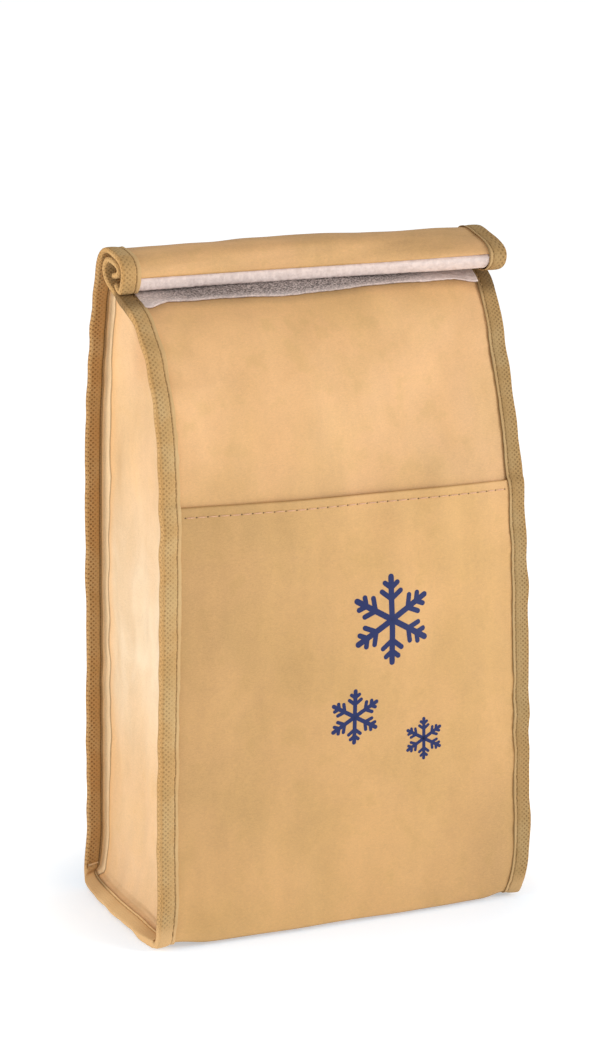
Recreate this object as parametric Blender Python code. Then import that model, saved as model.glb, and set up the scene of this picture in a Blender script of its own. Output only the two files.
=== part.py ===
"""Roll-top lunch bag of kraft paper laminate, sewn and bound, standing closed.

One long strip of paper makes the front, the base and the back. A gusset closes each side, and a
tape folded round the raw edges binds each side seam from the front rim, round under the base, to
the back rim. A pocket lies on the lower front. The mouth is rolled forward and held by two
touch-fastener strips. Lengths below are millimetres; meshes are written in metres.

Frame: +X to the bag's right, the front faces -Y, +Z up, origin on the floor under the middle.
"""
import math

import bpy
import numpy as np

MM = 0.001

# Driving sizes
HALF_SEAM = 89.0          # middle of the bag to the side seams
SEAM_ALLOWANCE = 8.6      # paper beyond the seam, inside the binding
BINDING_WIDTH = 9.4
OUTER_START, INNER_START = 0.1, 1.3   # where the binding's legs start, out from the seam
BEND_END = 1.6                        # where the bound edge is straight again beyond its bend
CORNER, LEG_EASE = 0.35, 0.25         # the binding's corner chamfer, and room behind the gusset
PAPER = 1.0               # laminated body and gusset panels
POCKET_PAPER, HEM_GAP = 0.5, 0.25
TAPE = 0.4
STRIP, STRIP_HALF = 0.9, 88.0   # touch-fastener strips: thickness, half their length
GAP = 0.35                # between pieces that touch
SIDE_SHIFT, DEPTH_SHIFT = 2.51, 1.27   # centre the bag's box on the origin

# How the side seams stand above the floor
SEAM_LIFT = 5.6           # base seam above the floor
FRONT_LIFT = 0.35         # share of that lift left at the front corners
FRONT_EASE = (-44.0, -18.0)   # depths between which the lift grows to its full height
LIFT_HEIGHT = 18.0        # walls follow the lifted seam up to here
LIFT_MARGIN = 15.0        # width of base that rises to the seam
FLANGE_TILT = math.radians(33)
TILT_EASE = 1.4           # keeps the bound edge clear of the floor where the lift is small
FLANGE_BEND = 2.5         # bend radius where the bound edge turns down

# How far the side seams spread sideways at the floor, as (front, back); a minus draws them in
FLARE_LEFT, FLARE_RIGHT = (5.0, 3.2), (-3.8, 0.0)
FLARE_HEIGHT, HALF_DEPTH = 38.0, 45.0

# Outer face of the strip at the left seam, as (depth, height): control points of a cubic B-spline.
# Front and back have as many points each side of the middle of the base.
LEFT = np.array([
    (8.5, 316.0), (1.5, 316.6), (-2.0, 319.8), (10.0, 323.0), (16.0, 321.6), (18.5, 317.0),
    (15.0, 312.5), (7.0, 308.6), (-2.0, 305.8), (-13.0, 302.6), (-25.0, 295.5), (-36.0, 282.0),
    (-46.0, 262.0), (-51.5, 235.0), (-52.0, 195.0), (-48.5, 120.0), (-43.5, 46.0),
    (-46.5, 14.0), (-52.0, 4.0), (-51.0, 0.0), (-36.0, 0.0), (0.0, 0.0), (36.0, 0.0), (47.5, 0.0),
    (52.0, 5.0), (52.0, 14.0), (50.5, 50.0), (49.0, 110.0), (47.5, 170.0), (46.5, 215.0),
    (44.0, 248.0), (39.0, 276.0), (34.5, 297.0), (30.0, 313.0), (25.5, 323.0), (19.5, 327.3),
    (11.5, 327.6), (2.0, 325.6), (-4.6, 322.8), (-6.4, 317.6), (-5.0, 312.0), (-1.5, 306.6),
    (5.5, 312.2),
])
# The same points at the right seam
RIGHT = np.array([
    (-15.0, 316.5), (-11.0, 318.8), (-3.0, 321.2), (5.0, 323.5), (12.0, 323.0), (15.0, 318.5),
    (11.0, 314.0), (3.0, 310.0), (-5.0, 305.5), (-10.0, 299.5), (-14.5, 290.0), (-20.0, 276.0),
    (-27.0, 257.0), (-36.0, 229.0), (-43.5, 193.0), (-48.0, 120.0), (-51.0, 50.0),
    (-52.5, 14.0), (-52.5, 4.0), (-50.5, 0.0), (-38.0, 0.0), (0.0, 0.0), (36.0, 0.0), (47.5, 0.0),
    (52.0, 5.0), (52.0, 14.0), (50.5, 50.0), (48.5, 110.0), (45.5, 165.0), (42.0, 210.0),
    (38.0, 243.0), (33.5, 271.0), (29.0, 294.0), (24.5, 311.0), (20.0, 321.5), (14.0, 328.0),
    (6.0, 330.0), (-4.0, 326.5), (-14.5, 324.2), (-22.0, 319.5), (-18.5, 311.8), (-9.0, 309.8),
    (1.0, 314.0),
])

STEP = np.arange(len(LEFT))

# Places along the strip, counted in control points
SHOULDER_FRONT, FOOT_FRONT, SHOULDER_BACK = 8.0, 18.5, 34.0
BASE_FRONT, BASE_BACK = 20, 22
RIDGE_FIRST, BACK_RIM = 33, 39.5
FOLD_LAST, FLAP_FIRST = 3, 38
POCKET_TOP, HEM_FOLD, HEM_END = 13.5, 13.53, 13.8
STRIP_END = len(LEFT) - 1.0
FRONT_STRIP = (7.0, 8.5)
# Every piece takes its rows from these places, so that neighbours bend at the same lines
ROW = 0.5
PLACES = np.unique(np.append(np.arange(0.0, STRIP_END + ROW / 2, ROW), [HEM_FOLD, HEM_END]))

# The gusset's bent edge, as (out from the seam, further in from the panel), outermost first
GUSSET_RIM = ((SEAM_ALLOWANCE - 0.4, 0.0), (SEAM_ALLOWANCE / 2, 0.0), (0.9, 0.0), (-0.3, 0.35),
              (-0.7, 1.4))
FOOT_EASE = 6             # how closely the wall keeps its straight lines above the base seam
# The wall's hollow, deeper towards the mouth, and the sag of its top edge: sizes and heights
PINCH_LOW, PINCH_HIGH, PINCH_FROM, PINCH_SPAN = 1.5, 7.0, 225.0, 80.0
FLAT_BELOW, FLAT_SPAN = 6.0, 40.0
SAG, SAG_FROM, SAG_SPAN = 8.0, 250.0, 60.0

# Swell of the panels at mid-width: outward, and upward along the ridge of the roll
FRONT_BULGE, BACK_BULGE, MOUTH_BULGE, CROWN = 5.0, 2.0, 3.0, 1.3
SWELL_BELOW, SWELL_SPAN = 45.0, 345.0


def smooth(v):
    """Eases from 0 to 1 as v goes from 0 to 1, flat at both ends."""
    v = np.clip(v, 0.0, 1.0)
    return v * v * (3.0 - 2.0 * v)


def bulge():
    """How far each control point swells outward at mid-width, as (depth, height)."""
    height = (LEFT[:, 1] + RIGHT[:, 1]) / 2
    swell = np.sin(np.pi * np.clip((height + SWELL_BELOW) / SWELL_SPAN, 0, 1))
    front = (STEP > SHOULDER_FRONT) & (STEP < BASE_FRONT)
    back = (STEP > BASE_BACK) & (STEP < SHOULDER_BACK)
    out = np.zeros_like(LEFT)
    out[:, 0] = np.where(front, -FRONT_BULGE * swell, np.where(back, BACK_BULGE * swell, 0.0))
    out[FLAP_FIRST:, 0] = MOUTH_BULGE
    out[:FOLD_LAST, 0] = MOUTH_BULGE
    out[RIDGE_FIRST:FLAP_FIRST, 1] = CROWN
    return out


BULGE = bulge()
# The flap swings forward only near its right end, so its points change late across the width
LATENESS = np.where((STEP >= FLAP_FIRST) | (STEP < FOLD_LAST), 4.0, 1.0)


def flare(y, z, s):
    """Outward shift of a point near the floor, greatest at the seams."""
    back = np.clip(0.5 + y / (2 * HALF_DEPTH), 0.0, 1.0)
    left = FLARE_LEFT[0] + (FLARE_LEFT[1] - FLARE_LEFT[0]) * back
    right = FLARE_RIGHT[0] + (FLARE_RIGHT[1] - FLARE_RIGHT[0]) * back
    share = np.clip(1.0 - z / FLARE_HEIGHT, 0.0, 1.0) ** 2
    return np.where(s < 0, left, right) * share * np.minimum(np.abs(s) / HALF_SEAM, 1.0) ** 3


def outer_face(t, s):
    """Points of the outer face at places t along the strip and distances s across it (broadcast).

    Each place is a cubic B-spline of the outlines blended from left to right. Past the seam the
    bound edge runs straight out at the walls, and bends down beside the base.
    """
    t, s = np.broadcast_arrays(np.asarray(t, float), np.asarray(s, float))
    k = np.clip(s / HALF_SEAM, -1.0, 1.0)
    count = len(LEFT)
    padded = np.arange(-1, count + 2).clip(0, count - 1)
    first = np.clip(np.floor(t), 0, count - 2).astype(int)
    f = t - first
    weights = ((1 - f) ** 3 / 6, (3 * f**3 - 6 * f**2 + 4) / 6,
               (-3 * f**3 + 3 * f**2 + 3 * f + 1) / 6, f**3 / 6)
    yz = np.zeros(t.shape + (2,))
    for step, w in enumerate(weights):
        i = padded[first + step]
        late = ((1 + k) / 2) ** LATENESS[i]
        point = LEFT[i] + (RIGHT[i] - LEFT[i]) * late[..., None] + BULGE[i] * (1 - k * k)[..., None]
        yz += w[..., None] * point
    y, z = yz[..., 0], yz[..., 1]
    spread = flare(y, z, s)
    low = np.clip(1.0 - z / LIFT_HEIGHT, 0.0, 1.0)
    near, far = FRONT_EASE
    low = low * (FRONT_LIFT + (1 - FRONT_LIFT) * smooth((y - near) / (far - near)))
    z = z + SEAM_LIFT * low * smooth((np.abs(s) - HALF_SEAM + LIFT_MARGIN) / LIFT_MARGIN)
    u = np.clip(np.abs(s) - HALF_SEAM, 0.0, None)
    tilt = FLANGE_TILT * low ** TILT_EASE
    turned = np.minimum(u / FLANGE_BEND, tilt)
    rest = u - FLANGE_BEND * turned
    out = FLANGE_BEND * np.sin(turned) + rest * np.cos(tilt)
    drop = FLANGE_BEND * (1 - np.cos(turned)) + rest * np.sin(tilt)
    x = np.sign(s) * (np.minimum(np.abs(s), HALF_SEAM) + out + spread)
    return np.stack([x + SIDE_SHIFT, y + DEPTH_SHIFT, z - drop], axis=-1)


def outward(t, s):
    """Unit normals of the outer face, from its slopes both ways."""
    e = 0.01
    along = outer_face(t + e, s) - outer_face(t - e, s)
    across = outer_face(t, s + e) - outer_face(t, s - e)
    n = np.cross(along, across)
    return n / np.linalg.norm(n, axis=-1, keepdims=True)


def lifted(t, s, offset):
    """Points at a distance off the outer face; a positive offset is outside the bag."""
    t, s, offset = np.broadcast_arrays(t, s, offset)
    inner = np.clip(t, 0.02, STRIP_END - 0.02)
    return outer_face(t, s) + outward(inner, s) * offset[..., None]


def faces_of(rows, columns):
    """Quads of a grid of vertices, row by row."""
    i, j = np.meshgrid(np.arange(rows - 1), np.arange(columns - 1), indexing="ij")
    a = (i * columns + j).ravel()
    return np.stack([a, a + columns, a + columns + 1, a + 1], axis=1)


def material(name, colour, roughness):
    mat = bpy.data.materials.new(name)
    mat.use_nodes = True
    shader = mat.node_tree.nodes["Principled BSDF"]
    shader.inputs["Base Color"].default_value = (*colour, 1.0)
    shader.inputs["Roughness"].default_value = roughness
    shader.inputs["Metallic"].default_value = 0.0
    return mat


def sheet(name, points, faces, thickness, mat):
    """A sheet object: the middle surface given, thickened equally to both sides."""
    mesh = bpy.data.meshes.new(name)
    mesh.from_pydata((points.reshape(-1, 3) * MM).tolist(), [], faces.tolist())
    mesh.update()
    mesh.shade_smooth()
    mesh.materials.append(mat)
    obj = bpy.data.objects.new(name, mesh)
    bpy.context.scene.collection.objects.link(obj)
    solid = obj.modifiers.new("thickness", "SOLIDIFY")
    solid.thickness = thickness * MM
    solid.offset = 0.0
    return obj


def places(start, end):
    """The shared rows from start to end."""
    return PLACES[(PLACES >= start - 1e-6) & (PLACES <= end + 1e-6)]


def across(half, count):
    """Distances across a panel, closer together in the base margin and the bound edges."""
    inner = HALF_SEAM - LIFT_MARGIN
    margin = HALF_SEAM - LIFT_MARGIN * np.array([0.66, 0.33, 0.0])
    edge = np.array([HALF_SEAM + BEND_END, (HALF_SEAM + half) / 2, half])
    right = np.concatenate([margin, edge])
    return np.concatenate([-right[::-1], np.linspace(-inner, inner, count), right])


def body_panel(paper):
    """Front, base and back in one strip; both ends lie in the rolled mouth."""
    t = places(0.0, BACK_RIM)
    s = across(HALF_SEAM + SEAM_ALLOWANCE, 9)
    grid = lifted(t[:, None], s[None, :], -PAPER / 2)
    return sheet("body_panel", grid, faces_of(len(t), len(s)), PAPER, paper)


def pocket_offsets():
    """Places and offsets down the pocket: its hem is turned in behind the top edge."""
    behind = GAP + POCKET_PAPER / 2
    front = behind + POCKET_PAPER + HEM_GAP
    hem = [(HEM_END, behind), (HEM_FOLD, behind), (POCKET_TOP, (behind + front) / 2)]
    wall = [(t, front) for t in places(HEM_FOLD, FOOT_FRONT)]
    return np.array(hem + wall)


def pocket_panel(paper):
    rows = pocket_offsets()
    s = across(HALF_SEAM + SEAM_ALLOWANCE, 9)
    grid = lifted(rows[:, :1], s[None, :], rows[:, 1:])
    return sheet("pocket_panel", grid, faces_of(len(rows), len(s))[:, ::-1], POCKET_PAPER, paper)


def flap_strip(fabric):
    """Touch-fastener strip sewn inside the back rim; it shows below the rim and turns under."""
    t = places(BACK_RIM - 1.0, STRIP_END)
    s = np.linspace(-STRIP_HALF, STRIP_HALF, 15)
    grid = lifted(t[:, None], s[None, :], -PAPER - GAP - STRIP / 2)
    return sheet("flap_strip", grid, faces_of(len(t), len(s)), STRIP, fabric)


def front_strip(fabric):
    """Touch-fastener strip across the front, just under the roll."""
    t = places(FRONT_STRIP[0], FRONT_STRIP[1])
    s = np.linspace(-STRIP_HALF, STRIP_HALF, 15)
    grid = lifted(t[:, None], s[None, :], GAP + STRIP / 2)
    return sheet("front_strip", grid, faces_of(len(t), len(s)), STRIP, fabric)


def binding(name, side, tape):
    """Tape folded round a side edge, swept along the whole edge of the strip.

    Its section is a U: the outer leg lies on the face, the inner leg behind the gusset's edge.
    """
    t = places(0.0, STRIP_END)
    pocket = (t >= POCKET_TOP) & (t <= FOOT_FRONT)
    gusset = (t >= SHOULDER_FRONT - 0.5) & (t <= SHOULDER_BACK + 0.5)
    over = GAP + TAPE / 2 + pocket * (2 * POCKET_PAPER + HEM_GAP + GAP)
    under = -(PAPER + GAP + TAPE / 2) - gusset * (PAPER + GAP + LEG_EASE)
    edge = BINDING_WIDTH - TAPE / 2
    columns = [(OUTER_START, over), (BEND_END, over), (edge * 0.5, over), (edge - CORNER, over),
               (edge, over - CORNER), (edge, under + CORNER), (edge - CORNER, under),
               (edge * 0.5, under), (INNER_START, under)]
    grid = np.stack([lifted(t, side * (HALF_SEAM + u), o) for u, o in columns], axis=1)
    faces = faces_of(len(t), len(columns))
    return sheet(name, grid, faces if side > 0 else faces[:, ::-1], TAPE, tape)


def gusset(name, side, paper):
    """Side panel: a wall patched between the front, base and back seams, and a bent-out edge."""
    behind = PAPER + GAP + PAPER / 2
    loop = np.arange(SHOULDER_FRONT, SHOULDER_BACK + ROW / 2, ROW)
    levels = int(round((FOOT_FRONT - SHOULDER_FRONT) / ROW)) + 1
    steps = len(loop) - 2 * levels + 2
    rim = [lifted(loop, side * (HALF_SEAM + out), -behind - back) for out, back in GUSSET_RIM]
    wall = rim[-1]
    # Wall: a blend of its three seams, ruled front to back, with the foot eased onto the base seam
    f, b, m = wall[:levels], wall[levels + steps - 2:][::-1], wall[levels - 1:levels + steps - 1]
    v = np.linspace(0, 1, levels)[:, None, None]
    h = np.linspace(0, 1, steps)[None, :, None]
    ruled = f[:, None] * (1 - h) + b[:, None] * h
    foot = m[None] - (m[0] * (1 - h) + m[-1] * h)
    patch = ruled + foot * v**FOOT_EASE
    height = patch[..., 2]
    arch = np.sin(np.pi * h[..., 0])
    pinch = PINCH_LOW + PINCH_HIGH * smooth((height - PINCH_FROM) / PINCH_SPAN)
    patch[..., 0] -= side * pinch * arch**2 * smooth((height - FLAT_BELOW) / FLAT_SPAN)
    patch[..., 2] -= SAG * smooth((height - SAG_FROM) / SAG_SPAN) * arch
    band = np.stack(rim, axis=1)
    points = np.concatenate([band.reshape(-1, 3), patch[:-1, 1:-1].reshape(-1, 3)])
    columns = len(rim)
    faces = faces_of(len(loop), columns).tolist()
    index = np.empty((levels, steps), int)
    around = np.arange(len(loop)) * columns + columns - 1
    index[:, 0] = around[:levels]
    index[-1, :] = around[levels - 1:levels + steps - 1]
    index[:, -1] = around[levels + steps - 2:][::-1]
    index[:-1, 1:-1] = len(loop) * columns + np.arange((levels - 1) * (steps - 2)).reshape(levels - 1, -1)
    for i in range(levels - 1):
        for j in range(steps - 1):
            faces.append([index[i, j], index[i + 1, j], index[i + 1, j + 1], index[i, j + 1]])
    faces = np.array(faces)
    return sheet(name, points, faces[:, ::-1] if side > 0 else faces, PAPER, paper)


def main():
    for obj in list(bpy.data.objects):
        bpy.data.objects.remove(obj, do_unlink=True)
    kraft = material("kraft_paper", (0.60, 0.38, 0.19), 0.75)
    side_kraft = material("side_kraft_paper", (0.75, 0.52, 0.31), 0.75)
    pocket_kraft = material("pocket_kraft_paper", (0.57, 0.36, 0.18), 0.75)
    tape = material("binding_tape", (0.46, 0.31, 0.15), 0.9)
    fabric = material("fastener_strip", (0.66, 0.60, 0.57), 0.95)
    body_panel(kraft)
    gusset("gusset_left", -1, side_kraft)
    gusset("gusset_right", 1, side_kraft)
    pocket_panel(pocket_kraft)
    binding("binding_left", -1, tape)
    binding("binding_right", 1, tape)
    flap_strip(fabric)
    front_strip(fabric)


main()
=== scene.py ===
"""Roll-top lunch bag of kraft paper, sewn and bound, standing closed: the looks.

Lengths are millimetres until a mesh is written, and metres from there on. A place on the bag is
(t, s): t runs along the body strip from the front rim, down the front, under the base and up the
back to the flap's end; s is the distance across it from the middle.
"""
import math

import bpy
import numpy as np
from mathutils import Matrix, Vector


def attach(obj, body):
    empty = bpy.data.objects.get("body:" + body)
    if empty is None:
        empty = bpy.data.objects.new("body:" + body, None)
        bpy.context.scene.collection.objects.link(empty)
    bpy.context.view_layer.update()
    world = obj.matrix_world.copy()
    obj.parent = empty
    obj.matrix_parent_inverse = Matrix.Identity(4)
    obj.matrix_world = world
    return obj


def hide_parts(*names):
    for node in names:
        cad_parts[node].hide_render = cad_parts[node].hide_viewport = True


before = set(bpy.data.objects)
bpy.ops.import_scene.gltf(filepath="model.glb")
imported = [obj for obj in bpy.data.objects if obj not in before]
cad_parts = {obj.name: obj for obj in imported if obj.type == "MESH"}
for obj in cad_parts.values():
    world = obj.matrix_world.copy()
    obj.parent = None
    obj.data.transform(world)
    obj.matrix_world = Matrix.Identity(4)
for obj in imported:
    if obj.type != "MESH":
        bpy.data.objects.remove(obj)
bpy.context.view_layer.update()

MM = 0.001

# ---------------------------------------------------------------- sizes, as the CAD has them
HALF_SEAM = 89.0                        # middle to side seam
SEAM_ALLOWANCE = 8.6                    # paper past the seam, inside the tape
CUT_EDGE = HALF_SEAM + SEAM_ALLOWANCE
BINDING_WIDTH = 9.4
PAPER, POCKET_PAPER, TAPE, STRIP = 1.0, 0.5, 0.4, 0.9    # thicknesses
GAP = 0.3                               # air between two layers
HEM_DEPTH = 8.0
GUSSET_SHARE = 0.82                     # side panel's part of its rectangle: it narrows upwards
STITCH_DROP, STITCH_PITCH = 4.4, 5.6    # hem stitches: below the pocket's edge, and apart
HOLE_MARGIN = 0.55                      # from a needle hole to the thread's ends
GROOVE, INNER_GROOVE = 1.95, 2.7        # the tape's stitch line, out from the seam on each leg
SHADE_FROM = 8.0                        # the fastener strips' pile carries painted shadow of the roll beyond this
SIDE_SHIFT, DEPTH_SHIFT = 2.51, 1.27    # centre the bag on the origin
SEAM_LIFT = 5.6                         # the seams ride up off the floor by this much,
FRONT_LIFT = 0.35                       # by this share of it at the front,
FRONT_EASE = (-44.0, -18.0)             # and by more of it between these depths
LIFT_HEIGHT, LIFT_MARGIN = 18.0, 15.0   # how far the lift reaches up, and in from the seams
FLANGE_TILT = math.radians(33)          # the bound edge bends down beside the base,
FLANGE_BEND, TILT_EASE = 2.5, 1.4       # on this radius, and by less further up
FLARE_LEFT, FLARE_RIGHT = (6.0, 3.4), (-6.0, 0.0)    # sideways at the foot: front, back
FLARE_MIDDLE = 2.2                      # added on the left at mid-depth
FLARE_HEIGHT, HALF_DEPTH = 38.0, 45.0

# Outer face of the strip at the left seam, as (depth, height): control points of a cubic B-spline
LEFT = np.array([
    (8.5, 316.0), (1.5, 316.6), (-2.0, 319.8), (10.0, 323.0), (16.0, 321.6), (18.5, 317.0),
    (15.0, 312.5), (7.0, 308.6), (-2.0, 305.8), (-13.0, 302.6), (-25.0, 295.5), (-36.0, 282.0),
    (-46.0, 262.0), (-51.5, 235.0), (-52.0, 195.0), (-48.5, 120.0), (-43.5, 46.0),
    (-46.5, 14.0), (-52.0, 4.0), (-51.0, 0.0), (-36.0, 0.0), (0.0, 0.0), (36.0, 0.0), (47.5, 0.0),
    (52.0, 5.0), (52.0, 14.0), (50.5, 50.0), (49.0, 110.0), (47.5, 170.0), (46.5, 215.0),
    (44.0, 248.0), (39.0, 276.0), (34.5, 297.0), (30.0, 313.0), (25.5, 323.0), (19.5, 327.3),
    (11.5, 327.6), (2.0, 325.6), (-4.6, 322.8), (-6.4, 317.6), (-5.0, 312.0), (-1.5, 306.6),
    (5.5, 312.2),
])
# The same points at the right seam
RIGHT = np.array([
    (-15.0, 316.5), (-11.0, 318.8), (-3.0, 321.2), (5.0, 323.5), (12.0, 323.0), (15.0, 318.5),
    (11.0, 314.0), (3.0, 310.0), (-5.0, 305.5), (-10.0, 299.5), (-14.5, 290.0), (-20.0, 276.0),
    (-27.0, 257.0), (-36.0, 229.0), (-43.5, 193.0), (-48.0, 120.0), (-51.0, 50.0),
    (-52.5, 14.0), (-52.5, 4.0), (-50.5, 0.0), (-38.0, 0.0), (0.0, 0.0), (36.0, 0.0), (47.5, 0.0),
    (52.0, 5.0), (52.0, 14.0), (50.5, 50.0), (48.5, 110.0), (45.5, 165.0), (42.0, 210.0),
    (38.0, 243.0), (33.5, 271.0), (29.0, 294.0), (24.5, 311.0), (20.0, 321.5), (14.0, 328.0),
    (6.0, 330.0), (-4.0, 326.5), (-14.5, 324.2), (-22.0, 319.5), (-18.5, 311.8), (-9.0, 309.8),
    (1.0, 314.0),
])
LAST = len(LEFT) - 1.0
STEP = np.arange(len(LEFT))

# Places along the strip, counted in control points, and how far it swells there
SHOULDER_FRONT, FOOT_FRONT, FOOT_BACK, SHOULDER_BACK = 8.0, 18.5, 23.5, 34.0
BASE_FRONT, BASE_MIDDLE, BASE_BACK = 20, 21.0, 22
RIDGE_FIRST, BACK_RIM = 33, 39.5
FOLD_LAST, FLAP_FIRST = 3, 38
POCKET_TOP = 13.5
FRONT_STRIP_TOP, FLAP_STRIP_TOP = 7.0, BACK_RIM - 0.8
FRONT_BULGE, BACK_BULGE, MOUTH_BULGE, CROWN = 5.0, 2.0, 3.0, 1.3
SWELL_BELOW, SWELL_SPAN = 45.0, 345.0


# ---------------------------------------------------------------- shape maths
def smooth(v):
    """Eases from 0 to 1 as v goes from 0 to 1, flat at both ends."""
    v = np.clip(v, 0.0, 1.0)
    return v * v * (3.0 - 2.0 * v)


def ripple(x, y, size, seed, waves=16):
    """Soft random relief of unit strength: a sum of sine waves of about the given length, in random
    directions."""
    rng = np.random.default_rng(seed)
    turn = rng.uniform(0, 2 * np.pi, waves)
    number = 2 * np.pi / (size * rng.uniform(0.7, 1.5, waves))
    phase = rng.uniform(0, 2 * np.pi, waves)
    total = np.zeros(np.broadcast(x, y).shape)
    for a, k, p in zip(turn, number, phase):
        total += np.sin(k * (x * np.cos(a) + y * np.sin(a)) + p)
    return total * math.sqrt(2.0 / waves)


def bulge():
    """How far each control point swells outward at mid-width, as (depth, height)."""
    height = (LEFT[:, 1] + RIGHT[:, 1]) / 2
    swell = np.sin(np.pi * np.clip((height + SWELL_BELOW) / SWELL_SPAN, 0, 1))
    front = (STEP > SHOULDER_FRONT) & (STEP < BASE_FRONT)
    back = (STEP > BASE_BACK) & (STEP < SHOULDER_BACK)
    out = np.zeros_like(LEFT)
    out[:, 0] = np.where(front, -FRONT_BULGE * swell, np.where(back, BACK_BULGE * swell, 0.0))
    out[FLAP_FIRST:, 0] = MOUTH_BULGE
    out[:FOLD_LAST, 0] = MOUTH_BULGE
    out[RIDGE_FIRST:FLAP_FIRST, 1] = CROWN
    return out


BULGE = bulge()
LATENESS = np.where((STEP >= FLAP_FIRST) | (STEP < FOLD_LAST), 4.0, 1.0)


def flare(y, z, s):
    """Outward shift of a point near the floor, greatest at the seams."""
    back = np.clip(0.5 + y / (2 * HALF_DEPTH), 0.0, 1.0)
    left = FLARE_LEFT[0] + (FLARE_LEFT[1] - FLARE_LEFT[0]) * back
    left = left + FLARE_MIDDLE * np.clip(1.0 - (y / HALF_DEPTH) ** 2, 0.0, 1.0)
    right = FLARE_RIGHT[0] + (FLARE_RIGHT[1] - FLARE_RIGHT[0]) * back
    share = np.clip(1.0 - z / FLARE_HEIGHT, 0.0, 1.0) ** 3
    return np.where(s < 0, left, right) * share * np.minimum(np.abs(s) / HALF_SEAM, 1.0) ** 3


def outer_face(t, s):
    """Points of the outer face: a cubic B-spline of the outlines blended from left to right. Past
    the seam the bound edge runs straight out at the walls, and bends down beside the base."""
    t, s = np.broadcast_arrays(np.asarray(t, float), np.asarray(s, float))
    k = np.clip(s / HALF_SEAM, -1.0, 1.0)
    count = len(LEFT)
    padded = np.arange(-1, count + 2).clip(0, count - 1)
    first = np.clip(np.floor(t), 0, count - 2).astype(int)
    f = t - first
    weights = ((1 - f) ** 3 / 6, (3 * f**3 - 6 * f**2 + 4) / 6,
               (-3 * f**3 + 3 * f**2 + 3 * f + 1) / 6, f**3 / 6)
    yz = np.zeros(t.shape + (2,))
    for step, w in enumerate(weights):
        i = padded[first + step]
        late = ((1 + k) / 2) ** LATENESS[i]
        point = LEFT[i] + (RIGHT[i] - LEFT[i]) * late[..., None] + BULGE[i] * (1 - k * k)[..., None]
        yz += w[..., None] * point
    y, z = yz[..., 0], yz[..., 1]
    side = flare(y, z, s)
    low = np.clip(1.0 - z / LIFT_HEIGHT, 0.0, 1.0)
    near, far = FRONT_EASE
    low = low * (FRONT_LIFT + (1 - FRONT_LIFT) * smooth((y - near) / (far - near)))
    z = z + SEAM_LIFT * low * smooth((np.abs(s) - HALF_SEAM + LIFT_MARGIN) / LIFT_MARGIN)
    u = np.clip(np.abs(s) - HALF_SEAM, 0.0, None)
    tilt = FLANGE_TILT * low ** TILT_EASE
    turned = np.minimum(u / FLANGE_BEND, tilt)
    rest = u - FLANGE_BEND * turned
    out = FLANGE_BEND * np.sin(turned) + rest * np.cos(tilt)
    drop = FLANGE_BEND * (1 - np.cos(turned)) + rest * np.sin(tilt)
    x = np.sign(s) * (np.minimum(np.abs(s), HALF_SEAM) + out + side)
    return np.stack([x + SIDE_SHIFT, y + DEPTH_SHIFT, z - drop], axis=-1)


def outward(t, s):
    """Unit normals of the outer face, from its slopes both ways."""
    e = 0.01
    along = outer_face(t + e, s) - outer_face(t - e, s)
    across = outer_face(t, s + e) - outer_face(t, s - e)
    n = np.cross(along, across)
    return n / np.linalg.norm(n, axis=-1, keepdims=True)


# Lengths along the strip's middle line, to space rows evenly and to run patterns along it
DENSE = np.linspace(0.0, LAST, 4201)
LINE = outer_face(DENSE, 0.0)
RUN = np.concatenate([[0.0], np.cumsum(np.linalg.norm(np.diff(LINE, axis=0), axis=1))])


def run_at(t):
    """Length in mm along the middle line to place t."""
    return np.interp(t, DENSE, RUN)


def place_at(run):
    """The place t at a length along the middle line."""
    return np.interp(run, RUN, DENSE)


def rows(start, end, coarse=2.4, fine=0.8):
    """Places from start to end: about coarse mm apart on the walls, fine mm apart in the roll and
    at the foot, where the outline turns."""
    turn_per_row, reach = 0.11, 40
    slope = np.unwrap(np.arctan2(np.gradient(LINE[:, 2]), np.gradient(LINE[:, 1])))
    turn = np.abs(np.gradient(slope)) / np.gradient(RUN)
    spacing = np.clip(turn_per_row / (turn + 1e-6), fine, coarse)
    window = np.ones(2 * reach + 1) / (2 * reach + 1)
    spacing = np.convolve(np.pad(spacing, reach, mode="edge"), window, mode="valid")
    worth = np.concatenate([[0.0], np.cumsum(np.diff(RUN) / spacing[1:])])
    lo, hi = np.interp([start, end], DENSE, worth)
    return np.interp(np.linspace(lo, hi, int(hi - lo) + 2), worth, DENSE)


def relief(t, s):
    """How far the paper stands proud of its smooth outline, in mm: puffed and dented between the
    seams, with short puckers where the seams draw it in."""
    run = run_at(t)
    inside = smooth((HALF_SEAM - np.abs(s)) / 22.0)
    wall = smooth((np.abs(t - BASE_MIDDLE) - 2.0) / 1.5)
    wall = wall * smooth((t - 7.5) / 1.5) * smooth((36.5 - t) / 2)
    puff = 0.75 * ripple(s, run, 95.0, 3) + 0.24 * ripple(s, run, 36.0, 5)
    flap = smooth((t - 34.0) / 2.0)
    sag = 0.12 * ripple(s, run, 60.0, 8) + 0.07 * ripple(s, run * 2.0, 22.0, 9)
    from_seam = np.clip(HALF_SEAM - np.abs(s), 0, None)
    pucker = 0.22 * ripple(run, s * 0.3, 17.0, 11) * np.exp(-from_seam / 7)
    return inside * (puff * wall + sag * flap) + pucker * wall


def lifted(t, s, offset):
    """Points at a distance off the outer face, with its relief; a positive offset is outside."""
    t, s, offset = np.broadcast_arrays(t, s, offset)
    inner = np.clip(t, 0.02, LAST - 0.02)
    away = offset + relief(t, s)
    return outer_face(t, s) + outward(inner, s) * away[..., None]


# Tucks of the binding at the bottom corners: (place, depth inward in mm, width along the edge)
CORNER_FOLDS = ((17.9, 0.9, 1.1), (18.25, -0.5, 1.4), (24.5, 1.5, 1.2), (24.1, -0.7, 1.6))


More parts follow.
